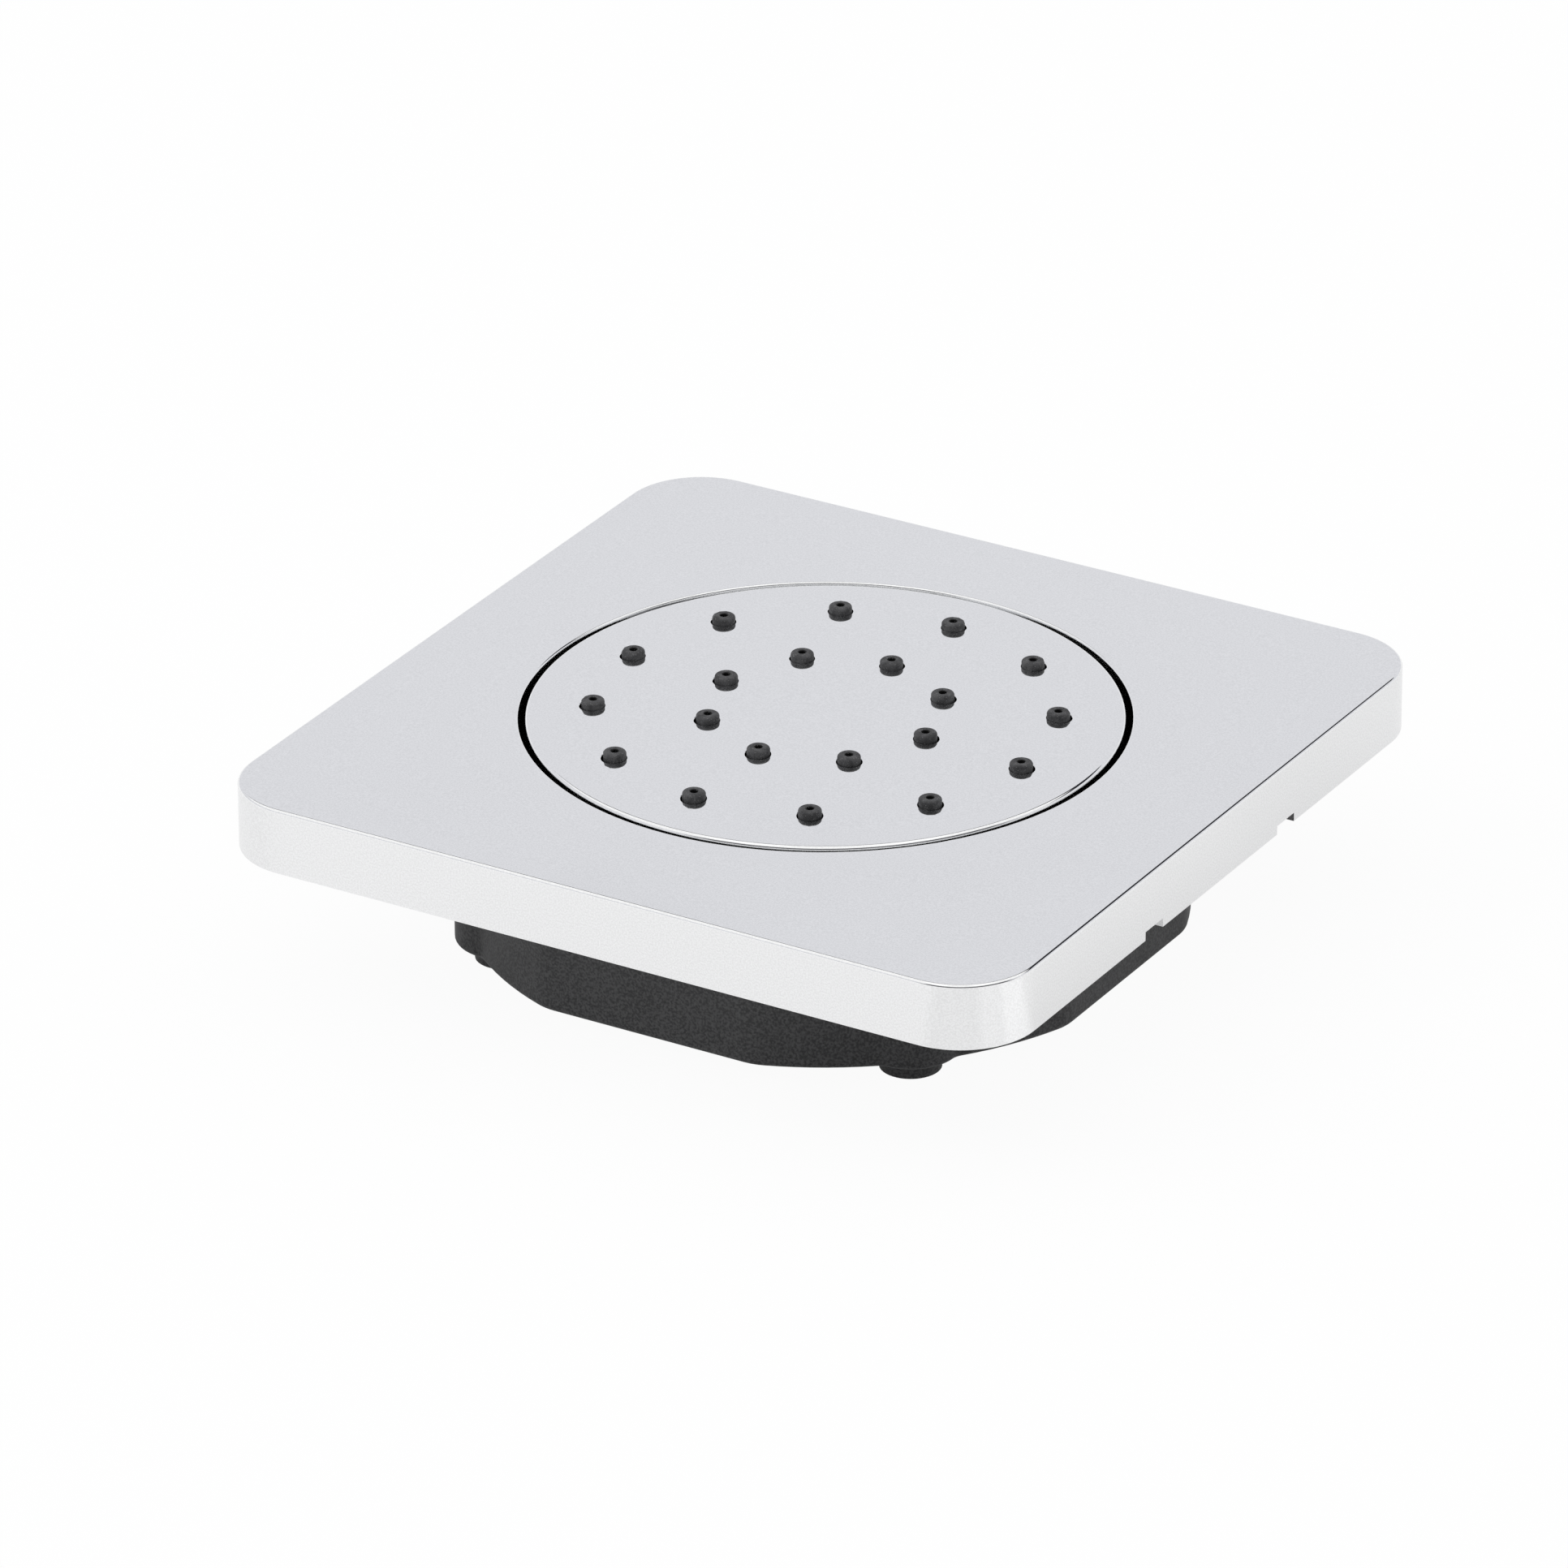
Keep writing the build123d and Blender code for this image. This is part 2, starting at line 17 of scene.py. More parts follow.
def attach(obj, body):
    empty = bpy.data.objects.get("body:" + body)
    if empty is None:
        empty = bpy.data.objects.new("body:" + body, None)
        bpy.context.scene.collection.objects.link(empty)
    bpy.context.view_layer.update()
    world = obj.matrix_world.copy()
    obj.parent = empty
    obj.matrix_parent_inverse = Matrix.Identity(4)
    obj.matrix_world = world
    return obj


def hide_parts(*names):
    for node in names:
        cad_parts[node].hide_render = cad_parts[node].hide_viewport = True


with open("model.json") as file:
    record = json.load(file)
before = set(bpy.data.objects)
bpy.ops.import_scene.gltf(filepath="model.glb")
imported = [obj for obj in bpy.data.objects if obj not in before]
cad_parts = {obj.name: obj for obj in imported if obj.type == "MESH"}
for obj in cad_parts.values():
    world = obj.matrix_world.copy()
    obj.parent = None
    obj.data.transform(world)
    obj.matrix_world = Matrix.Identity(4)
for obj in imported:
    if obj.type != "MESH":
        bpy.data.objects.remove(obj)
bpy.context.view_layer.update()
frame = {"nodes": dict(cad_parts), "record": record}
MM = 0.001
scene = bpy.context.scene
scene.view_settings.view_transform = "Standard"

# %% [markdown]
# The photograph was taken with a long lens from in front and above, a little to the left of
# the plate's near corner. A camera could be aimed with a constraint, but a matrix says the
# same thing in four columns: where right, up and back point, and where the lens stands.
# The angles, the distance and the sideways slide were fitted to the plate's edges.

# %% Camera
AZIMUTH, ELEVATION, ROLL = np.radians([30.749, 26.269, -0.277])
DISTANCE = 1.63592
PLATE_EDGE_HEIGHT = 0.0296
SLIDE_RIGHT, SLIDE_UP = -0.005560, -0.008540
LENS, SENSOR = 280.19, 36.0


def camera_axes(azimuth, elevation, roll):
    """Right, up and back of a camera that looks at the origin, turned about its view by the roll."""
    right = np.array([np.cos(azimuth), np.sin(azimuth), 0.0])
    level = np.array([np.sin(azimuth), -np.cos(azimuth), 0.0])
    back = level * np.cos(elevation) + np.array([0, 0, np.sin(elevation)])
    up = np.cross(back, right)
    return right * np.cos(roll) + up * np.sin(roll), up * np.cos(roll) - right * np.sin(roll), back


right, up, back = camera_axes(AZIMUTH, ELEVATION, ROLL)
place = back * DISTANCE + right * SLIDE_RIGHT + up * SLIDE_UP + np.array([0, 0, PLATE_EDGE_HEIGHT])
pose = np.eye(4)
pose[:3, :3] = np.column_stack([right, up, back])
pose[:3, 3] = place
lens = bpy.data.cameras.new("photo_lens")
lens.lens, lens.sensor_width, lens.clip_start, lens.clip_end = LENS, SENSOR, 0.05, 50.0
camera = bpy.data.objects.new("photo_camera", lens)
scene.collection.objects.link(camera)
camera.matrix_world = Matrix(pose.tolist())
scene.camera = camera
print("camera at", place.round(4))

# %% [markdown]
# Every finish below is a small node tree, so a few helpers keep the cells short: one adds a
# node with its settings and links, one makes a material around its main shader, and the rest
# mix, spread and roughen values. Colours that differ from place to place are linked, and a
# value that is the same all over is set on the shader itself.


# %% Helpers for node trees
def add_node(tree, kind, settings=(), **inputs):
    """A node of a kind, with its settings and the values or links of its inputs."""
    node = tree.nodes.new("ShaderNode" + kind)
    for name, value in dict(settings).items():
        setattr(node, name, value)
    for name, value in inputs.items():
        key = int(name[1:]) if name[0] == "_" and name[1:].isdigit() else name.replace("_", " ")
        if isinstance(value, bpy.types.NodeSocket):
            tree.links.new(value, node.inputs[key])
        else:
            node.inputs[key].default_value = value
    return node


def new_finish(name, **values):
    """A material with its tree and its main shader, whose even values are set on the shader."""
    material = bpy.data.materials.new(name)
    material.use_nodes = True
    tree = material.node_tree
    shader = tree.nodes["Principled BSDF"]
    for key, value in values.items():
        shader.inputs[key.replace("_", " ")].default_value = value
    return material, tree, shader


def surface_place(tree):
    """Where a point lies on the piece, in metres, which moves with the piece."""
    return tree.nodes.new("ShaderNodeTexCoord").outputs["Object"]


def blend_colours(tree, share, low, high):
    """A colour between two, by a share from 0 to 1. Each of the two is a colour or a socket."""
    low, high = [end if isinstance(end, bpy.types.NodeSocket) else (*end, 1) for end in (low, high)]
    return add_node(tree, "Mix", {"data_type": "RGBA"}, _0=share, _6=low, _7=high).outputs[2]


def blend_values(tree, share, low, high):
    """A number between two, by a share from 0 to 1."""
    return add_node(tree, "Mix", {"data_type": "FLOAT"}, _0=share, _2=low, _3=high).outputs[0]


def reckon(tree, operation, first, second):
    """Sum, product or larger one of two numbers."""
    return add_node(tree, "Math", {"operation": operation}, _0=first, _1=second).outputs[0]


def towards(tree, direction, side):
    """How far a direction points to a side: the cosine between them, with the side as an angle about Z."""
    facing = (np.cos(side), np.sin(side), 0)
    dot = add_node(tree, "VectorMath", {"operation": "DOT_PRODUCT"}, _0=direction, _1=facing)
    return dot.outputs["Value"]


def spread(tree, value, low, high, to_low=0.0, to_high=1.0):
    """A value carried smoothly from one range to another, and held at its ends."""
    ranged = add_node(tree, "MapRange", {"interpolation_type": "SMOOTHSTEP"}, _0=value)
    for index, number in enumerate((low, high, to_low, to_high), start=1):
        ranged.inputs[index].default_value = number
    return ranged.outputs[0]


def speckle(tree, scale, detail=2.0, where=None):
    """Noise from 0 to 1, with this many bumps in a metre."""
    vector = where or surface_place(tree)
    return add_node(tree, "TexNoise", Vector=vector, Scale=scale, Detail=detail).outputs[0]


def relief(tree, height, distance, strength=1.0):
    """Small bumps of a height in metres, for the shader's normal."""
    return add_node(tree, "Bump", Height=height, Distance=distance, Strength=strength).outputs[0]


print("node helpers ready")

# %% [markdown]
# The part stands on a white sweep. A white floor could be lit until it clips, but that would
# bleach the part as well. So the camera sees an even white, and the chrome that mirrors the
# floor sees nearly the same, and a share of the plainly lit floor is kept under both for a
# soft shadow. The bright band on the photographed near corner, between two duller ones, tells
# that the floor beside the camera was not lit evenly. A few soft fans of painted light and
# shade in the floor's white, which only the chrome sees, paint that band into its reflection.

# %% Floor
FLOOR_REACH = 4.0
FLOOR_DROP = 0.00005
SHADOW_SHARE = 0.05  # of the lit floor under the white that the camera sees
MIRROR_SHARE = 0.62  # and under the white that metal mirrors
FLOOR_GREY = (0.93, 0.93, 0.93, 1)
# painted light and shade on the floor's white, by side about the part, seen only in the chrome's reflection
PAINTED_FLOOR_FANS = [  # side in degrees, cosines where the fan starts and is full, change of light
    (-19.0, 0.985, 0.998, 0.20),
    (-55.0, 0.951, 0.985, -0.15),
    (62.0, 0.80, 0.97, -0.12),
    (-150.0, 0.90, 0.985, -0.08),
]
corners = np.array([[-1, -1], [1, -1], [1, 1], [-1, 1]]) * FLOOR_REACH
floor_mesh = bpy.data.meshes.new("floor")
floor_mesh.from_pydata(np.c_[corners, np.full(4, -FLOOR_DROP)].tolist(), [], [(0, 1, 2, 3)])
floor = bpy.data.objects.new("floor", floor_mesh)
scene.collection.objects.link(floor)


def white_sweep():
    """Pale floor whose white shows to the camera, to metal and to glass, over a kept share of shadow, with
    painted fans of light and shade in the white that metal and glass see.
    """
    material, tree, shader = new_finish("white_sweep", Base_Color=FLOOR_GREY, Roughness=0.9)
    ray = tree.nodes.new("ShaderNodeLightPath").outputs
    mirrored = reckon(tree, "MAXIMUM", ray["Is Glossy Ray"], ray["Is Transmission Ray"])
    mirrored = reckon(tree, "MULTIPLY", mirrored, 1 - MIRROR_SHARE)
    seen = reckon(tree, "MULTIPLY", ray["Is Camera Ray"], 1 - SHADOW_SHARE)
    share = reckon(tree, "MAXIMUM", seen, mirrored)
    place = surface_place(tree)
    outwards = add_node(tree, "VectorMath", {"operation": "NORMALIZE"}, _0=place).outputs[0]
    light = 1.0
    # the fans paint the mirrored white lighter or darker by side, and the camera still sees plain white
    for side, start, full, change in PAINTED_FLOOR_FANS:
        fan = spread(tree, towards(tree, outwards, np.radians(side)), start, full, 0.0, change)
        light = reckon(tree, "ADD", fan, light)
    light = blend_values(tree, ray["Is Camera Ray"], light, 1.0)
    white = add_node(tree, "Emission", Color=(1, 1, 1, 1), Strength=light)
    mixed = add_node(tree, "MixShader", _0=share, _1=shader.outputs[0], _2=white.outputs[0])
    tree.links.new(mixed.outputs[0], tree.nodes["Material Output"].inputs["Surface"])
    return material


floor_mesh.materials.append(white_sweep())
print("floor of", 2 * FLOOR_REACH, "m")

# %% [markdown]
# Chrome has no look of its own: it shows the studio. The photograph tells what stood there.
# The plate's face is one calm cool grey, so a pale grey wall stood opposite the camera. A thin
# dark line runs along the far edges, so there was a dark card above that wall. A second thin
# line under the near corner's highlight, and the housing's darker right half, show the dark
# room behind the camera. All the rest was white light, strongest overhead, as a ring about a
# duller middle, so that the plate doesn't bleach when it is seen from straight above. Panels
# could be modelled, but a dome painted by direction does the same.

# %% Studio dome
# Heights are sines of the angle above the horizon, and reaches are cosines of the angle to a side.
WHITE, WALL_GREY = (1.0, 1.0, 1.0), (0.757, 0.762, 0.794)
WALL_FOOT, WALL_TOP = (0.06, 0.28), 0.55
LIGHT_OVERHEAD, OVERHEAD_LOW = (1.3, 1.3, 1.3), (0.90, 0.96)
LIGHT_ZENITH, ZENITH_LOW = (0.72, 0.72, 0.72), (0.965, 0.999)
CARD_GREY, CARD_TOP = (0.02, 0.02, 0.025), 0.66
CARD_LOW, CARD_HIGH = (WALL_TOP, WALL_TOP + 0.012), (CARD_TOP, CARD_TOP + 0.04)
CARD_SIDE, CARD_REACH = np.radians(94.0), (0.643, 0.83)
ROOM_GREY, ROOM_LOW, ROOM_HIGH = (0.11, 0.11, 0.12), (0.12, 0.26), (0.62, 0.78)
ROOM_SIDE, ROOM_REACH = np.radians(-48.0), (0.30, 0.62)


def studio_dome():
    """Grey wall by height, white light above it, a dark card far off and the room behind the camera."""
    world = bpy.data.worlds.new("studio_dome")
    world.use_nodes = True
    tree = world.node_tree
    toward = tree.nodes.new("ShaderNodeTexCoord").outputs["Generated"]
    height = add_node(tree, "SeparateXYZ", Vector=toward).outputs[2]
    level = add_node(tree, "VectorMath", {"operation": "MULTIPLY"}, _0=toward, _1=(1, 1, 0)).outputs[0]
    level = add_node(tree, "VectorMath", {"operation": "NORMALIZE"}, _0=level).outputs[0]

    def panel(under, side, reach, low, high, colour):
        """A panel over what is under it: masks by side and by height, multiplied together."""
        mask = spread(tree, towards(tree, level, side), *reach)
        for edge in (spread(tree, height, *low), spread(tree, height, *high, 1.0, 0.0)):
            mask = reckon(tree, "MULTIPLY", mask, edge)
        return blend_colours(tree, mask, under, colour)

    wall = blend_colours(tree, spread(tree, height, *WALL_FOOT), WHITE, WALL_GREY)
    overhead = blend_colours(tree, spread(tree, height, *OVERHEAD_LOW), WHITE, LIGHT_OVERHEAD)
    overhead = blend_colours(tree, spread(tree, height, *ZENITH_LOW), overhead, LIGHT_ZENITH)
    lit = blend_colours(tree, spread(tree, height, WALL_TOP, CARD_TOP), wall, overhead)
    shown = panel(lit, ROOM_SIDE, ROOM_REACH, ROOM_LOW, ROOM_HIGH, ROOM_GREY)
    shown = panel(shown, CARD_SIDE, CARD_REACH, CARD_LOW, CARD_HIGH, CARD_GREY)
    tree.links.new(shown, tree.nodes["Background"].inputs["Color"])
    return world


scene.world = studio_dome()
print("studio dome painted")

# %% [markdown]
# One large soft lamp at the upper left gives the black housing its shading, from lighter on
# the left to darker on the right, and lets the feet throw a soft shadow. A weaker one low on
# the right lifts the housing's right end, as a white board there would.


# %% Lamps
def soft_lamp(name, place, side, power):
    """A square lamp that looks at the origin: its back, across and up are the columns of its pose."""
    data = bpy.data.lights.new(name, "AREA")
    data.shape, data.size, data.energy = "SQUARE", side, power
    lamp = bpy.data.objects.new(name, data)
    scene.collection.objects.link(lamp)
    behind = place / np.linalg.norm(place)
    across = np.cross([0, 0, 1], behind)
    across /= np.linalg.norm(across)
    pose = np.eye(4)
    pose[:3, :3] = np.column_stack([across, np.cross(behind, across), behind])
    pose[:3, 3] = place
    lamp.matrix_world = Matrix(pose.tolist())
    lamp.visible_glossy = False  # the chrome mirrors the dome alone
    print(name, np.linalg.norm(place).round(2), "m away")


soft_lamp("key_lamp", np.array([-1.0, -0.9, 1.3]), side=0.9, power=8.0)
soft_lamp("right_board", np.array([1.1, 0.72, 0.12]), side=0.5, power=1.6)

# %% [markdown]
# Polished chrome plate is a mirror with a cool tint. What tells it from a perfect mirror is
# small: a grain that sparkles, and wiping that leaves the shine a little uneven. Both are
# noise in metres, so that they keep their real size on the plate and on the disc.


# %% Chrome plate
CHROME_DULL, CHROME_BRIGHT = (0.855, 0.858, 0.860), (0.945, 0.948, 0.950)
CHROME_GRAIN, CHROME_WIPING = 4200.0, 38.0  # bumps in a metre
CHROME_ROUGHNESS = (0.045, 0.085)


def polished_chrome():
    """Mirror whose tint varies by a fine grain and whose roughness varies in soft wiped patches."""
    material, tree, shader = new_finish("polished_chrome", Metallic=1.0)
    grain = spread(tree, speckle(tree, CHROME_GRAIN, 1.0), 0.3, 0.7)
    tint = blend_colours(tree, grain, CHROME_DULL, CHROME_BRIGHT)
    tree.links.new(tint, shader.inputs["Base Color"])
    wiped = spread(tree, speckle(tree, CHROME_WIPING, 3.0), 0.35, 0.7, *CHROME_ROUGHNESS)
    tree.links.new(wiped, shader.inputs["Roughness"])
    return material


# %% [markdown]
# The housing is a black moulding from a spark-eroded tool: matt, with a fine even grain that
# shows as paler and darker points a third of a millimetre apart. One fine noise makes the
# points, the bumps two hundredths of a millimetre high and the uneven shine, and a broader
# noise varies the black where the moulding has been rubbed.


# %% Mouldings
RUBBING, RUBBED_SHARE = 90.0, 0.12  # bumps in a metre, and their share in the shade
GRAIN_DEPTH = 0.00002


def uneven_shine(tree, shader, noise, low, high, middle, play):
    """Roughness that varies by a play about its middle value, as a noise goes from low to high."""
    rough = spread(tree, noise, low, high, middle - play, middle + play)
    tree.links.new(rough, shader.inputs["Roughness"])


def moulding(name, dark, light, roughness, grain=2600.0):
    """Matt moulding: a fine grain with a little broad noise between two shades, as bumps and shine."""
    material, tree, shader = new_finish(name)
    fine = speckle(tree, grain, 2.0)
    shade = blend_values(tree, RUBBED_SHARE, fine, speckle(tree, RUBBING, 4.0))
    shade = spread(tree, shade, 0.36, 0.64)
    tree.links.new(blend_colours(tree, shade, dark, light), shader.inputs["Base Color"])
    uneven_shine(tree, shader, fine, 0.25, 0.75, roughness, 0.06)
    tree.links.new(relief(tree, fine, GRAIN_DEPTH), shader.inputs["Normal"])
    return material


# %% [markdown]
# The nozzles are soft silicone. It is dark grey and dull, and dust sticks to it: the photo
# shows pale specks on every nozzle. Cells of a fixed size give the specks, and only the
# few smallest distances to a cell's middle are kept. The bores get painted shade, near black
# for the shade deep inside them: the nozzle mat carries a value that is 1 in its bores.


# %% Silicone and rubber
# near black painted shade for the bores, and the grey of the dust
BORE_PAINTED_SHADE, DUST_GREY = (0.004, 0.004, 0.004), (0.5, 0.5, 0.5)
DUST_CELLS, DUST_SIZE = 3400.0, (0.10, 0.20)  # cells in a metre, and a speck's share of a cell
SOFT_SHADING, SOFT_GRAIN = 900.0, 4200.0  # bumps in a metre


def soft_black(name, dark, light, roughness, dust):
    """Dull soft black with a broad change of shade, painted shade where the bore value marks the bores, and
    pale specks of dust.
    """
    material, tree, shader = new_finish(name, Specular_IOR_Level=0.35)
    shade = spread(tree, speckle(tree, SOFT_SHADING, 3.0), 0.3, 0.7)
    colour = blend_colours(tree, shade, dark, light)
    bore = add_node(tree, "Attribute", {"attribute_name": "bore"}).outputs["Fac"]
    # painted shade: near black in the bores, where the mesh's bore value is 1
    colour = blend_colours(tree, bore, colour, BORE_PAINTED_SHADE)
    cells = add_node(tree, "TexVoronoi", Vector=surface_place(tree), Scale=DUST_CELLS)
    speck = spread(tree, cells.outputs["Distance"], *DUST_SIZE, dust, 0.0)
    tree.links.new(blend_colours(tree, speck, colour, DUST_GREY), shader.inputs["Base Color"])
    fine = speckle(tree, SOFT_GRAIN, 2.0)
    uneven_shine(tree, shader, fine, 0.25, 0.75, roughness, 0.08)
    tree.links.new(relief(tree, fine, GRAIN_DEPTH), shader.inputs["Normal"])
    return material


# %% [markdown]
# The inlet, its nut, the washers and the screws were turned on a lathe or pressed. A lathe
# leaves fine rings around the spray axis, so their pattern is a wave of the distance from
# that axis, broken up by a little noise.


# %% Turned metals
LATHE_RINGS, RING_DEPTH, METAL_WEAR = 900.0, 0.00001, 260.0


def turned_metal(name, dark, light, roughness):
    """Metal with lathe rings around the spray axis, as a wave of the radius, and uneven shine."""
    material, tree, shader = new_finish(name, Metallic=1.0)
    where = surface_place(tree)
    rings = add_node(tree, "TexWave", {"wave_type": "RINGS", "rings_direction": "Z"}, Vector=where,
                     Scale=LATHE_RINGS, Distortion=1.5, Detail=2.0).outputs["Fac"]
    worn = speckle(tree, METAL_WEAR, 4.0, where)
    colour = blend_colours(tree, spread(tree, worn, 0.3, 0.7), dark, light)
    tree.links.new(colour, shader.inputs["Base Color"])
    uneven_shine(tree, shader, worn, 0.3, 0.7, roughness + 0.01, 0.07)
    tree.links.new(relief(tree, rings, RING_DEPTH), shader.inputs["Normal"])
    return material


# %% [markdown]
# Each solid of the part has a material slot in its record, so the solids that stay get their
# finish by that slot. A solid that a smoother piece replaces below is dressed as well.

# %% Dress the solids
FINISHES = {
    "chrome": polished_chrome(),
    "black_plastic": moulding("black_moulding", (0.005, 0.005, 0.006), (0.068, 0.068, 0.069), 0.50, 3000.0),
    "silicone": soft_black("soft_nozzle", (0.034, 0.034, 0.036), (0.082, 0.082, 0.085), 0.62, 0.4),
    "dark_plastic": moulding("dark_moulding", (0.045, 0.045, 0.05), (0.062, 0.062, 0.068), 0.48),
    "pale_plastic": moulding("pale_moulding", (0.70, 0.70, 0.66), (0.78, 0.78, 0.74), 0.42),
    "rubber": soft_black("seal_rubber", (0.018, 0.018, 0.018), (0.030, 0.030, 0.030), 0.7, 0.12),
    "brass": turned_metal("turned_brass", (0.64, 0.47, 0.22), (0.74, 0.56, 0.28), 0.28),
    "steel": turned_metal("bright_steel", (0.50, 0.50, 0.51), (0.66, 0.66, 0.67), 0.32),
}
for subpart in frame["record"]["subparts"]:
    solid = frame["nodes"][subpart["node"]].data
    solid.materials.clear()
    solid.materials.append(FINISHES[subpart["material_slot"]])

# %% [markdown]
# The bright pieces are grids of points worked out in millimetres. A grid becomes quads by
# index: each point joins its neighbour in the row and the two in the next row. Several
# grids that share edges are then merged into one closed skin, its faces are turned
# outwards, and edges sharper than a limit are kept crisp.


# %% Helpers for surfaces
MERGE_REACH = 0.002  # points nearer than this are one point


def quads_of(grid):
    """Points and quads of a grid of shape (rows, columns, 3)."""
    rows, columns = grid.shape[:2]
    index = np.arange(rows * columns).reshape(rows, columns)
    quads = np.stack([index[:-1, :-1], index[:-1, 1:], index[1:, 1:], index[1:, :-1]], axis=-1)
    return grid.reshape(-1, 3), quads.reshape(-1, 4)


def join_sheets(sheets):
    """One list of points and one of quads from several (points, quads) sheets."""
    starts = np.cumsum([0] + [len(points) for points, _ in sheets[:-1]])
    points = np.concatenate([points for points, _ in sheets])
    return points, np.concatenate([quads + start for (_, quads), start in zip(sheets, starts)])


def open_edges(mesh):
    """How many edges don't join exactly two faces, from the edge of every face corner."""
    edge_of_corner = np.empty(len(mesh.loops), np.int32)
    mesh.loops.foreach_get("edge_index", edge_of_corner)
    return int((np.bincount(edge_of_corner, minlength=len(mesh.edges)) != 2).sum())


def skin(name, sheets, body, slot, node, crisp=38.0):
    """A closed piece from sheets in millimetres: merged, turned outwards, smooth, crisp past an angle."""
    points, quads = join_sheets(sheets)
    mesh = bpy.data.meshes.new(name)
    mesh.from_pydata((points * MM).tolist(), [], quads.tolist())
    work = bmesh.new()
    work.from_mesh(mesh)
    bmesh.ops.remove_doubles(work, verts=work.verts, dist=MERGE_REACH * MM)
    bmesh.ops.recalc_face_normals(work, faces=work.faces)
    work.to_mesh(mesh)
    work.free()
    mesh.shade_smooth()
    mesh.set_sharp_from_angle(angle=np.radians(crisp))
    mesh.materials.append(FINISHES[slot])
    piece = bpy.data.objects.new(name, mesh)
    scene.collection.objects.link(piece)
    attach(piece, body)
    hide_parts(node)
    print(name, len(mesh.polygons), "faces,", open_edges(mesh), "open edges")
    return piece


def spin_matrix(angle):
    """Turns rows of points about the spray axis, when they are multiplied by it."""
    c, s = np.cos(angle), np.sin(angle)
    return np.array([[c, s, 0], [-s, c, 0], [0, 0, 1]])


def turned_rows(profile, angles):
    """A profile of (radius, height) carried round the spray axis: x = r cos a, y = r sin a, z = h."""
    radius, height = np.asarray(profile, float).T[:, :, None]
    return np.stack([radius * np.cos(angles), radius * np.sin(angles), height + 0 * angles], axis=-1)


# %% [markdown]
# The cover plate is a shallow crowned lid with a round opening. It could be cut out of a box
# with booleans, but a mirror shows every seam that they leave. Here it is one band carried
# around the opening: each column starts on the opening's wall, climbs to the crowned
# face, runs out to the rounded-square outline, turns over the edge, goes down the skirt and
# comes back underneath. Thin rows beside each rounded edge keep the flat faces flat.

# %% Plate outline
PLATE_HALF, PLATE_CORNER, PLATE_WALL = 60.0, 11.0, 2.0
CROWN, CROWN_HALF = 1.65, 61.0
EDGE_Z, BACK_Z = 29.6, 20.35
OPENING_R, OPENING_ROUND, EDGE_ROUND = 41.25, 0.3, 0.45
OPENING_DRAFT = np.radians(10.0)
NOTCH_PLACES, NOTCH_WIDTH, NOTCH_HEIGHT = np.array([-17.1, 18.9]), 4.7, 1.25
SUPPORT = 0.06  # width of the thin rows beside a rounded edge
NOTCH_Z, SKIRT_MIDDLE_Z = BACK_Z + NOTCH_HEIGHT, 25.0


def crown_height(x, y):
    """The face's height: a parabola along each side, multiplied together, over the edge's height."""
    return EDGE_Z + CROWN * (1 - (x / CROWN_HALF) ** 2) * (1 - (y / CROWN_HALF) ** 2)


def plate_outline():
    """Outline points and outward normals, once round from the middle of the notched side, closed."""
    straight = PLATE_HALF - PLATE_CORNER
    notch = np.sort(np.abs(NOTCH_PLACES)[:, None] + np.array([-0.5, 0.5]) * NOTCH_WIDTH, axis=None)
    half = np.concatenate([np.linspace(0, notch[0], 7), notch[1:], np.linspace(notch[-1], straight, 10)[1:]])
    turn = np.linspace(0, np.pi / 2, 25)[1:-1]
    arc = np.stack([straight + PLATE_CORNER * np.cos(turn), straight + PLATE_CORNER * np.sin(turn)], axis=1)
    side = np.concatenate([np.stack([np.full(len(half), PLATE_HALF), half], axis=1), arc,
                           np.stack([half[::-1], np.full(len(half), PLATE_HALF)], axis=1)[:-1]])
    normal = np.concatenate([np.tile([1.0, 0.0], (len(half), 1)),
                             np.stack([np.cos(turn), np.sin(turn)], axis=1),
                             np.tile([0.0, 1.0], (len(half) - 1, 1))])
    quarter = np.array([[0, 1], [-1, 0]])
    spins = [np.linalg.matrix_power(quarter, k) for k in range(4)]
    points = np.concatenate([side @ spin for spin in spins])
    normals = np.concatenate([normal @ spin for spin in spins])
    return np.r_[points, points[:1]], np.r_[normals, normals[:1]]


outline, outward = plate_outline()
print("plate outline of", len(outline) - 1, "columns")


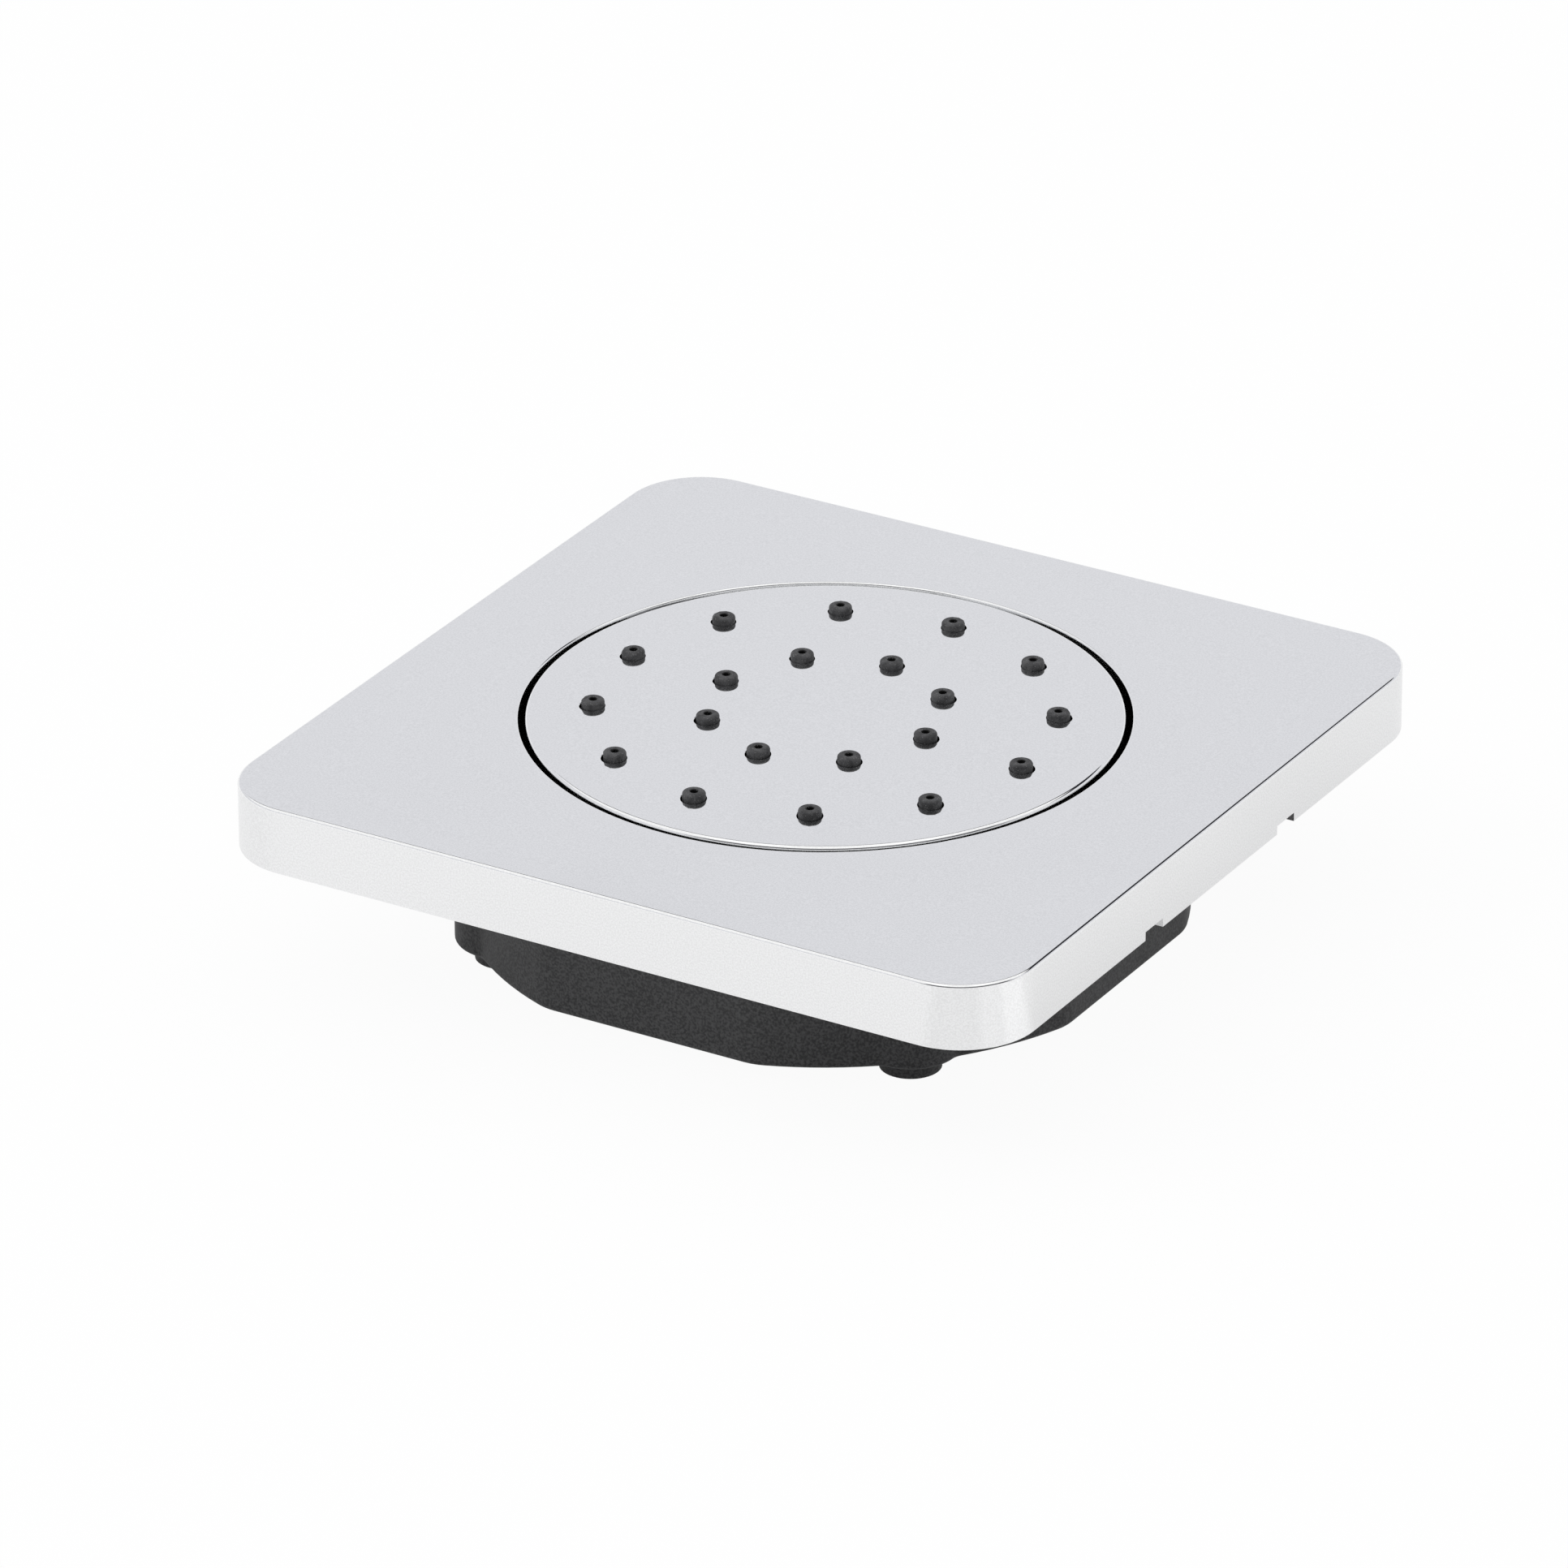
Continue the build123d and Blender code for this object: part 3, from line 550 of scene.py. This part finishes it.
# %% Plate band
def plate_band(outline, outward):
    """Rows from under the opening, over the face and the skirt, and back, and where the skirt's rows are."""
    along = outline / np.linalg.norm(outline, axis=1, keepdims=True)
    arc = np.linspace(0, np.pi / 2, 9)
    rows, marks = [], {}

    def row(plan, height):
        rows.append(np.concatenate([plan, np.broadcast_to(height, len(plan))[:, None]], axis=1))

    def on_face(plan, drop=0.0):
        row(plan, crown_height(*plan.T) - drop)

    def on_wall(drop):
        return along * (OPENING_R - drop * np.tan(OPENING_DRAFT))

    on_face(on_wall(PLATE_WALL), PLATE_WALL)
    on_face(on_wall(OPENING_ROUND + SUPPORT), OPENING_ROUND + SUPPORT)
    round_middle = OPENING_R + OPENING_ROUND * (1 - np.sin(OPENING_DRAFT)) / np.cos(OPENING_DRAFT)
    for lean in np.linspace(np.pi / 2 - OPENING_DRAFT, 0, 9):
        on_face(along * (round_middle - OPENING_ROUND * np.sin(lean)), OPENING_ROUND * (1 - np.cos(lean)))
    start = along * (round_middle + SUPPORT)
    end = outline - outward * (EDGE_ROUND + SUPPORT)
    for t in np.linspace(0, 1, 15):
        on_face(start + (end - start) * t)
    brow = outline - outward * EDGE_ROUND
    brow_height = crown_height(*brow.T)
    for a in arc:
        row(brow + outward * EDGE_ROUND * np.sin(a), brow_height - EDGE_ROUND * (1 - np.cos(a)))
    row(outline, brow_height - EDGE_ROUND - SUPPORT)
    inner = outline - outward * PLATE_WALL
    down = (SKIRT_MIDDLE_Z, NOTCH_Z, BACK_Z)
    for wall, plan, heights in (("outer", outline, down), ("inner", inner, down[::-1])):
        for height in heights:
            marks[wall, height] = len(rows)
            row(plan, height)
    for t in np.linspace(0, 1, 7):
        on_face(inner + (on_wall(PLATE_WALL) - inner) * t, PLATE_WALL)
    return np.stack(rows), marks


band, band_rows = plate_band(outline, outward)
print("plate band of", band.shape[0], "rows by", band.shape[1], "columns")

# %% [markdown]
# Two notches in the skirt's back edge let a flat lever lift the plate off. The quads of the
# skirt's last rows are left out between each notch's sides, and a roof and two ends close
# the opening again. Ribs inside the skirt snap under the housing's flange, and posts under
# the corners stand on it: each is a small closed block of its own.


# %% Plate notches, posts and ribs
def notched(band, marks):
    """The band's sheet with the quads of each notch left out, and the notch's roof and ends added."""
    points, quads = quads_of(band)
    columns = band.shape[1]
    outer_top, outer_low = marks["outer", NOTCH_Z], marks["outer", BACK_Z]
    inner_low, inner_top = marks["inner", BACK_Z], marks["inner", NOTCH_Z]
    cell_row, cell_column = np.divmod(np.arange(len(quads)), columns - 1)
    middle = 0.5 * (band[outer_low, :-1] + band[outer_low, 1:])
    from_notch = np.abs(middle[:, 1:2] - NOTCH_PLACES).min(axis=1)
    inside = (from_notch < NOTCH_WIDTH / 2) & (middle[:, 0] > PLATE_HALF - 1)
    lost = inside[cell_column] & (cell_row >= outer_top) & (cell_row < inner_top)
    sides = np.flatnonzero(np.diff(inside.astype(int))) + 1
    at = np.flatnonzero(inside)
    roof = np.stack([outer_top * columns + at, outer_top * columns + at + 1,
                     inner_top * columns + at + 1, inner_top * columns + at], axis=1)
    corners = (outer_top, outer_low, inner_low, inner_top)
    ends = np.stack([corner * columns + sides for corner in corners], axis=1)
    return points, np.concatenate([quads[~lost], roof, ends])


def block(low, high):
    """Closed block between two corners, as points and quads."""
    points = np.array(np.meshgrid(*zip(low, high), indexing="ij")).reshape(3, -1).T.astype(float)
    quads = [[0, 1, 3, 2], [4, 6, 7, 5], [0, 4, 5, 1], [2, 3, 7, 6], [0, 2, 6, 4], [1, 5, 7, 3]]
    return points, np.array(quads)


def post(x, y, radius, low, high):
    """Closed round post: a profile from the axis out, up and back, carried round."""
    angles = np.linspace(0, 2 * np.pi, 49)
    points, quads = quads_of(turned_rows([(0, low), (radius, low), (radius, high), (0, high)], angles))
    return points + [x, y, 0], quads


FLANGE_Z, FLANGE_TOP = 21.0, 23.5
POST_PLACE, POST_R = 48.0, 3.5
RIB_PLACE, RIB_LENGTH, RIB_REACH, RIB_ROOT, RIB_PLAY = 32.0, 10.0, 0.9, 1.0, 0.05
post_top = crown_height(POST_PLACE, POST_PLACE) - PLATE_WALL / 2
posts = [post(x, y, POST_R, FLANGE_TOP, post_top)
         for x in (-POST_PLACE, POST_PLACE) for y in (-POST_PLACE, POST_PLACE)]
skirt_inside = PLATE_HALF - PLATE_WALL
rib_points, rib_quads = block((skirt_inside - RIB_REACH, -RIB_LENGTH / 2, BACK_Z),
                              (skirt_inside + RIB_ROOT, RIB_LENGTH / 2, FLANGE_Z - RIB_PLAY))
ribs = [((rib_points + [0, shift, 0]) @ spin_matrix(turn), rib_quads)
        for turn in np.arange(4) * np.pi / 2 for shift in (-RIB_PLACE, RIB_PLACE)]
cover_sheets = [notched(band, band_rows), *posts, *ribs]
skin("cover_shell", cover_sheets, "base", "chrome", "cover_plate")

# %% [markdown]
# The spray disc is a dome with twenty holes. Cutting them would leave long slivers that show
# in the chrome, so the dome is laid out like paving: a round centre, a ring of cells with
# a hole in each, a plain ring, a second ring of cells and a rim. In a cell, straight lines
# run from the hole's edge to the cell's border, and all the pieces share one spacing of
# columns, so that they meet point to point.

# %% Paving for the disc
COLUMNS = 144
CENTRE_R = 10.0
FIRST_STEP = 0.012  # share of the way to the border of the thin row beside a hole
DISC_TURN = np.radians(-3.3)
column_angles = np.linspace(0, 2 * np.pi, COLUMNS + 1)


def round_centre(radius):
    """A square grid bent to a disc: the larger side is the radius, the other side's share is the angle."""
    side = np.linspace(-1, 1, COLUMNS // 4 + 1)
    s, t = np.meshgrid(side, side, indexing="ij")
    wide = np.abs(s) >= np.abs(t)
    far = np.where(wide, s, t)
    share = np.divide(np.where(wide, t, s), far, out=np.zeros_like(s), where=far != 0) * np.pi / 4
    angle = np.where(wide, share, np.pi / 2 - share)
    return np.stack([far * np.cos(angle), far * np.sin(angle)], axis=-1) * radius


def cell_border(near, far, half_angle, along, across):
    """Border of one cell, once round: out along the near arc, up a side, back along the far arc, down."""
    arc, side = np.linspace(-half_angle, half_angle, along + 1), np.linspace(near, far, across + 1)
    end = np.full(across, half_angle)
    angle = np.concatenate([arc[:-1], end, arc[:0:-1], -end, arc[:1]])
    radius = np.concatenate([np.full(along, near), side[:-1], np.full(along, far), side[:0:-1], [near]])
    return np.stack([radius * np.cos(angle), radius * np.sin(angle)], axis=-1)


def ring_cells(count, near, far, centre_r, edge, height, across=8):
    """Cells with a hole each: rows of the hole's edge as (radius, height), then lines out to the border."""
    border = cell_border(near, far, np.pi / count, COLUMNS // count, across)
    spoke = border - [centre_r, 0]
    spoke /= np.linalg.norm(spoke, axis=1, keepdims=True)
    wall = []
    for radius, level in edge:
        plan = spoke * radius + [centre_r, 0]
        wall.append(np.concatenate([plan, np.reshape(level(*plan.T) + 0 * plan[:, 0], (-1, 1))], axis=1))
    start = wall[-1][:, :2]
    share = np.r_[FIRST_STEP, np.linspace(0, 1, 9)[1:] ** 1.5]
    plans = start + (border - start) * share[:, None, None]
    face = np.concatenate([plans, height(plans[..., :1], plans[..., 1:])], axis=-1)
    cell = np.concatenate([np.stack(wall), face])
    return [quads_of(cell @ spin_matrix(angle)) for angle in np.arange(count) * 2 * np.pi / count]


def plain_ring(radii, height):
    """Circles of several radii about the axis, at the heights of a surface."""
    circle = np.stack([np.cos(column_angles), np.sin(column_angles)], axis=-1)
    plan = np.asarray(radii, float)[:, None, None] * circle
    return quads_of(np.concatenate([plan, height(plan[..., :1], plan[..., 1:])], axis=-1))


def pierced_sheet(height, edges, rings, rim_radii):
    """A whole pierced face: centre, two rings of cells and the plain rings between and outside them."""
    centre = round_centre(CENTRE_R)
    sheets = [quads_of(np.concatenate([centre, height(centre[..., :1], centre[..., 1:])], axis=-1))]
    for (count, centre_r, near, far), edge in zip(rings, edges):
        sheets += ring_cells(count, near, far, centre_r, edge, height)
    (_, _, _, first_far), (_, _, second_near, _) = rings
    sheets.append(plain_ring(np.linspace(first_far, second_near, 4), height))
    sheets.append(plain_ring(rim_radii, height))
    return sheets


def turned_sheets(sheets, angle):
    """Sheets turned about the spray axis."""
    return [(points @ spin_matrix(angle), quads) for points, quads in sheets]


print("paving ready with", COLUMNS, "columns")

# %% [markdown]
# The disc hangs in the opening like a shallow lid. Its profile runs from the dome over a small
# rounded edge, down the straight rim, under the skirt and up inside to the roof. The rim lies
# inside a ball about the joint's centre, so the disc clears the plate however it tilts.

# %% Spray disc
DISC_R, DISC_CROWN, DISC_ROUND = 40.3, 0.7, 0.5
RIM_Z, UNDERSIDE_Z = 30.6386, 28.7386
DISC_WALL, DISC_SKIRT = 1.2, 8.5
HOLE_R, HOLE_ROUND, HOLE_SHIFT, LIP_SUPPORT = 1.74, 0.12, 0.14, 0.02
INNER_COUNT, INNER_R, OUTER_COUNT, OUTER_R = 8, 16.05, 12, 31.25
INNER_FAR, OUTER_NEAR, OUTER_FAR = 22.0, 26.5, 36.0  # borders of the cells
HOLE_RINGS = [(INNER_COUNT, INNER_R + HOLE_SHIFT, CENTRE_R, INNER_FAR),
              (OUTER_COUNT, OUTER_R + HOLE_SHIFT, OUTER_NEAR, OUTER_FAR)]
dome_r = (DISC_R**2 + DISC_CROWN**2) / (2 * DISC_CROWN)
dome_centre = RIM_Z + DISC_CROWN - dome_r


def dome(x, y):
    """Height of the disc's face: the top of a large ball."""
    return dome_centre + np.sqrt(dome_r**2 - x**2 - y**2)


def flat(level):
    """A level surface."""
    return lambda x, y: level + 0 * x


def rim_round():
    """Arc that touches the dome and the straight rim: its centre lies one radius inside both."""
    r = DISC_R - DISC_ROUND
    z = dome_centre + np.sqrt((dome_r - DISC_ROUND) ** 2 - r**2)
    lean = np.linspace(np.arctan2(z - dome_centre, r), 0, 9)
    return np.stack([r + DISC_ROUND * np.cos(lean), z + DISC_ROUND * np.sin(lean)], axis=1)


def hole_edge(lip):
    """Wall of a nozzle hole from the underside up, then its rounded lip at the dome."""
    rows = [(HOLE_R, flat(UNDERSIDE_Z)), (HOLE_R, lambda x, y: dome(x, y) - lip - LIP_SUPPORT)]
    for a in np.linspace(0, np.pi / 2, 6):
        drop = lip * (1 - np.sin(a))
        rows.append((HOLE_R + lip * (1 - np.cos(a)), lambda x, y, drop=drop: dome(x, y) - drop))
    return rows


arc = rim_round()
skirt_z = RIM_Z - DISC_SKIRT
inside_r = DISC_R - DISC_WALL
wall = [(DISC_R, arc[-1, 1] - SUPPORT), (DISC_R, skirt_z), (inside_r, skirt_z), (inside_r, UNDERSIDE_Z)]
rim_profile = np.concatenate([arc, wall])
rim_radii = [OUTER_FAR, 37.5, 39.0, arc[0, 0] - SUPPORT, arc[0, 0]]
face_top = pierced_sheet(dome, [hole_edge(HOLE_ROUND)] * 2, HOLE_RINGS, rim_radii)
under = flat(UNDERSIDE_Z)
face_under = pierced_sheet(under, [[(HOLE_R, under)]] * 2, HOLE_RINGS, [OUTER_FAR, 38.0, inside_r])
rim_sheet = quads_of(turned_rows(rim_profile, column_angles))
disc_sheets = turned_sheets([*face_top, *face_under, rim_sheet], DISC_TURN)
skin("spray_disc", disc_sheets, "spray_head", "chrome", "spray_face")

# %% [markdown]
# The nozzles are moulded on one soft mat behind the disc. The same paving serves, with a
# nozzle standing in each cell: up its wall, over a rounded shoulder, across the tip and down
# the fine bore to the wider entry at the back.

# %% Nozzle mat
MAT_R, MAT_Z, LIP_Z, MAT_LIP = 34.45, 27.2386, 26.0386, 1.0
NOZZLE_R, NOZZLE_RISE, NOZZLE_ROUND, WALL_ROW = 1.58, 1.0, 0.4, 0.5
BORE_R, BORE_LENGTH, ENTRY_R, BORE_ROUND = 0.5, 1.2, 1.0, 0.15
NOZZLE_NEAR, NOZZLE_FAR = 27.6, 33.2  # borders of the outer nozzles' cells
MAT_RINGS = [(INNER_COUNT, INNER_R, CENTRE_R, INNER_FAR), (OUTER_COUNT, OUTER_R, NOZZLE_NEAR, NOZZLE_FAR)]


def nozzle_edge(ring_r):
    """A nozzle's profile from its entry up the bore, over the tip and the shoulder, down to the mat."""
    tip = dome(ring_r, 0.0) + NOZZLE_RISE
    rows = [(ENTRY_R, MAT_Z), (BORE_R, tip - BORE_LENGTH), (BORE_R, tip - BORE_ROUND)]
    a = np.linspace(0, np.pi / 2, 5)[1:]
    rows += list(zip(BORE_R + BORE_ROUND * (1 - np.cos(a)), tip - BORE_ROUND * (1 - np.sin(a))))
    a = np.linspace(0, np.pi / 2, 8)
    rows += list(zip(NOZZLE_R - NOZZLE_ROUND * (1 - np.sin(a)), tip - NOZZLE_ROUND * (1 - np.cos(a))))
    rows += [(NOZZLE_R, tip - NOZZLE_ROUND - WALL_ROW), (NOZZLE_R, UNDERSIDE_Z)]
    return [(radius, flat(level)) for radius, level in rows]


nozzle_rows = [nozzle_edge(INNER_R), nozzle_edge(OUTER_R)]
mat_top = pierced_sheet(under, nozzle_rows, MAT_RINGS, [NOZZLE_FAR, 34.0, MAT_R])
mat_back = flat(MAT_Z)
mat_under = pierced_sheet(mat_back, [[(ENTRY_R, mat_back)]] * 2, MAT_RINGS, [NOZZLE_FAR, MAT_R - MAT_LIP])
lip_profile = [(MAT_R, UNDERSIDE_Z), (MAT_R, LIP_Z), (MAT_R - MAT_LIP, LIP_Z), (MAT_R - MAT_LIP, MAT_Z)]
lip_sheet = quads_of(turned_rows(lip_profile, column_angles))
mat_sheets = turned_sheets([*mat_top, *mat_under, lip_sheet], DISC_TURN)
mat = skin("nozzles", mat_sheets, "spray_head", "silicone", "nozzle_mat")


def mark_bores(mesh):
    """Mask for the bores' painted shade: 1 where a point lies in a bore or its mouth, by the nearest nozzle
    axis, fading at the mouth's edge.
    """
    points = np.empty(3 * len(mesh.vertices))
    mesh.vertices.foreach_get("co", points)
    plan = points.reshape(-1, 3)[:, :2] / MM
    counts = [INNER_COUNT, OUTER_COUNT]
    angles = DISC_TURN + np.concatenate([np.arange(count) * 2 * np.pi / count for count in counts])
    radii = np.repeat([INNER_R, OUTER_R], counts)[:, None]
    axes = radii * np.stack([np.cos(angles), np.sin(angles)], axis=1)
    off_axis = np.linalg.norm(plan[:, None] - axes, axis=2).min(axis=1)
    value = np.clip(3 * (BORE_R + BORE_ROUND - off_axis) / BORE_ROUND, 0, 1)
    mesh.attributes.new("bore", "FLOAT", "POINT").data.foreach_set("value", value)
    return int((value == 1).sum())


print(mark_bores(mat.data), "points in the bores")

# %% [markdown]
# The brass inlet shows from behind: a hexagon for the spanner, and inside it a half-inch pipe
# thread. Real threads are cut by a tool that climbs one pitch in each turn, and the surface
# can be written the same way: the radius is a wave of the height less the share of a turn.
# An arcsine of a cosine makes the wave a triangle with rounded tips. The hexagon is one more
# radius, the flat's distance over the cosine of the angle from the middle of its flat.

# %% Threaded inlet
THREAD_R, THREAD_DEPTH, THREAD_PITCH, TIP_ROUNDING = 9.316, 1.162, 1.814, 0.96
INLET_Z, THREAD_TOP, RUN_OUT, CHAMFER_R = 0.4, 6.4386, 0.5, 10.016
RELIEF_R, WASHER_TOP, SEAT_R, LIMITER_TOP = 9.696, 8.4386, 6.95, 10.6386
WATERWAY_R, BALL_R, BALL_Z, BALL_TOP = 2.75, 6.5, 19.0386, 24.0386
NECK_R, SHOULDER_R, SHOULDER_Z, SLOPE_Z, BARREL_R = 3.8, 8.0, 12.0386, 10.8386, 12.0
SPANNER_FLAT, SPANNER_TOP, SPANNER_BEVEL = 16.0, 1.9, np.radians(20.0)


def thread_radius(height, angle):
    """Crest radius plus the depth times a rounded triangle of height / pitch - turns, fading at the top."""
    turn = 2 * np.pi * height / THREAD_PITCH - angle
    triangle = 0.5 + np.arcsin(TIP_ROUNDING * np.cos(turn)) / (2 * np.arcsin(TIP_ROUNDING))
    fade = np.clip((THREAD_TOP - height) / RUN_OUT, 0, 1)
    return np.maximum(THREAD_R + THREAD_DEPTH * triangle * fade, CHAMFER_R - (height - INLET_Z))


def inlet_rows():
    """Rows of (radius, height): up the thread and the waterway, over the ball and down the outside."""
    thread_z = np.linspace(INLET_Z, THREAD_TOP, 97)[:, None] + 0 * column_angles
    sides = [(RELIEF_R, THREAD_TOP), (RELIEF_R, WASHER_TOP), (SEAT_R, WASHER_TOP), (SEAT_R, LIMITER_TOP),
             (WATERWAY_R, LIMITER_TOP), (WATERWAY_R, BALL_TOP)]
    lean = np.linspace(np.arcsin((BALL_TOP - BALL_Z) / BALL_R), -np.arccos(NECK_R / BALL_R), 28)
    sides += list(zip(BALL_R * np.cos(lean), BALL_Z + BALL_R * np.sin(lean)))
    sides += [(NECK_R, SHOULDER_Z), (SHOULDER_R, SHOULDER_Z), (BARREL_R, SLOPE_Z), (BARREL_R, SPANNER_TOP)]
    sides = np.array(sides)[:, :, None] + 0 * column_angles
    hexagon = SPANNER_FLAT / np.cos(np.mod(column_angles, np.pi / 3) - np.pi / 6)
    bevel_z = INLET_Z + (hexagon - SPANNER_FLAT) * np.tan(SPANNER_BEVEL)
    level = 0 * column_angles
    flange = [(hexagon, SPANNER_TOP + level), (hexagon, bevel_z), (SPANNER_FLAT + level, INLET_Z + level)]
    thread = np.stack([thread_radius(thread_z, column_angles), thread_z], axis=1)
    return np.concatenate([thread, sides, np.array(flange), thread[:1]])


radius, height = inlet_rows().transpose(1, 0, 2)
inlet_grid = np.stack([radius * np.cos(column_angles), radius * np.sin(column_angles), height], axis=-1)
skin("threaded_inlet", [quads_of(inlet_grid)], "base", "brass", "ball_inlet", crisp=18.0)
